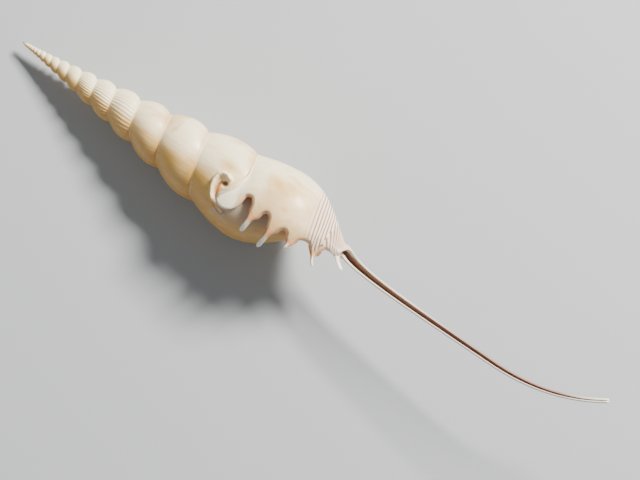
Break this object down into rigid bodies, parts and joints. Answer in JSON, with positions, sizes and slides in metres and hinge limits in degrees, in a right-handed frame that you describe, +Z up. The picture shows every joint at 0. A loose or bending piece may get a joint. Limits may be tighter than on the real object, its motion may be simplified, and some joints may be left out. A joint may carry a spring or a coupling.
{
  "type": "tibia shell",
  "caption": "Long spindle-shaped sea snail shell lying on its side, with a tall whorled spire, a fingered lip and a long open canal.",
  "frame": {"origin": "centre of the bounding box's bottom face, on the surface that the shell rests on", "axes": "+X from the apex towards the end of the canal, +Z up in the resting pose, with the lip facing up"},
  "size_m": [0.2274, 0.031, 0.0337],
  "materials": {
    "shell": "glossy ivory and tan shell, like porcelain"
  },
  "bodies": {
    "root": {"shell": "shell"}
  },
  "joints": []
}
